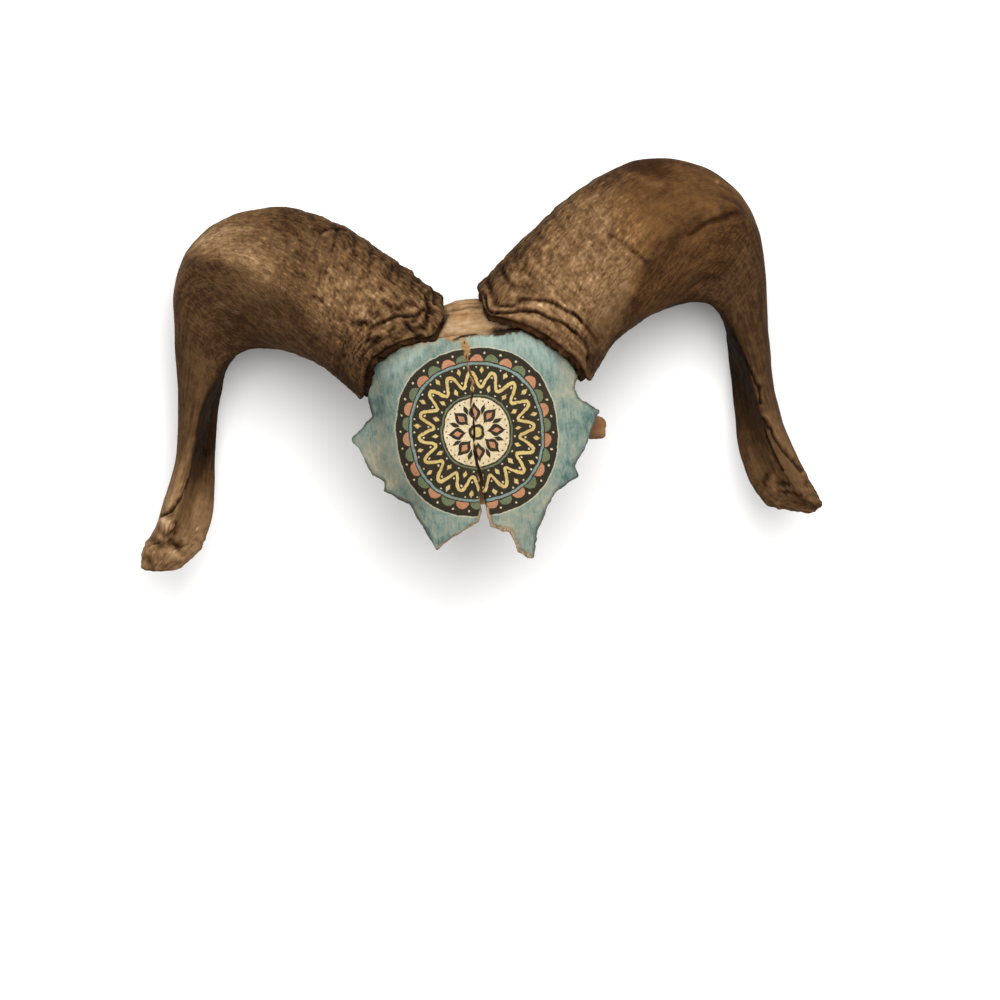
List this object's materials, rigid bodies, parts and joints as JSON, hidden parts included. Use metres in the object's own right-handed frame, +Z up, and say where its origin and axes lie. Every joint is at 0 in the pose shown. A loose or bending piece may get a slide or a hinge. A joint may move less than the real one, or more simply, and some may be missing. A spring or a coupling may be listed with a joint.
{
  "type": "painted bighorn sheep skull",
  "caption": "Painted ram skull with a round painted medallion on the forehead and two wide, curling horns; lies on its back.",
  "frame": {"origin": "middle of the bounding box, on the surface that the horns lie on", "axes": "+Z up, the way the forehead faces; +Y from the broken nose towards the back of the head; +X across the horns, to the right seen from above"},
  "size_m": [0.526, 0.2972, 0.1755],
  "materials": {
    "painted_bone": "matt blue-green paint on dry bone, bare tan bone behind",
    "horn": "dry, ridged brown horn"
  },
  "bodies": {
    "root": {"skull": "painted_bone", "horn_left": "horn", "horn_right": "horn"}
  },
  "joints": []
}
